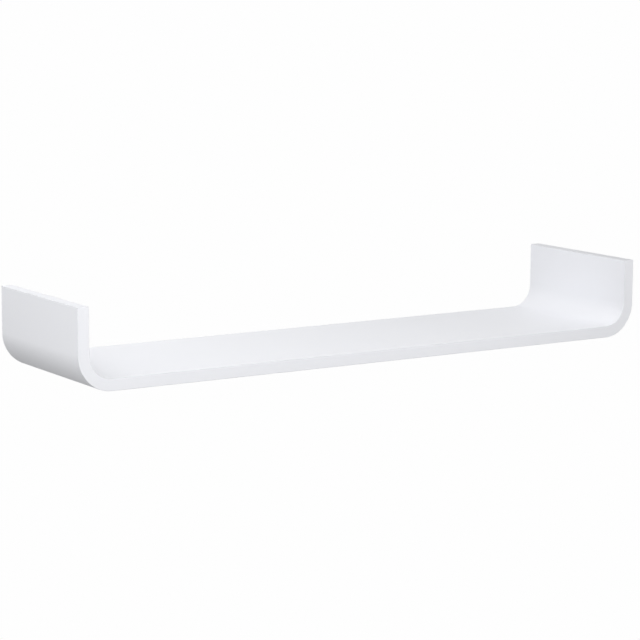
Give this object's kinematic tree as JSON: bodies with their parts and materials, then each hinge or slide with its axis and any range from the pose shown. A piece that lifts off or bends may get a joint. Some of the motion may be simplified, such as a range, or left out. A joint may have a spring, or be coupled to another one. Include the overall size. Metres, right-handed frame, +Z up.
{
  "type": "wall shelf",
  "caption": "Floating wall shelf: a flat white lacquered board whose ends turn up in round bends into low uprights, hung on keyhole plates hidden in the rear edges.",
  "frame": {"origin": "middle of the base panel's rear edge, in the plane that lies against the wall", "axes": "+X along the shelf to the right as seen from the room, +Y into the wall, +Z up"},
  "size_m": [0.9, 0.22, 0.11],
  "materials": {
    "white_lacquer": "sprayed satin lacquer",
    "beech": "turned, raw",
    "zinc_plate": "pressed and zinc plated",
    "zinc_screw": "rolled and zinc plated"
  },
  "bodies": {
    "root": {"base_panel": "white_lacquer", "left_end_shell": "white_lacquer", "right_end_shell": "white_lacquer", "left_joint_dowels": "beech", "right_joint_dowels": "beech", "left_keyhole_plate": "zinc_plate", "right_keyhole_plate": "zinc_plate", "left_plate_screws": "zinc_screw", "right_plate_screws": "zinc_screw"}
  },
  "joints": []
}
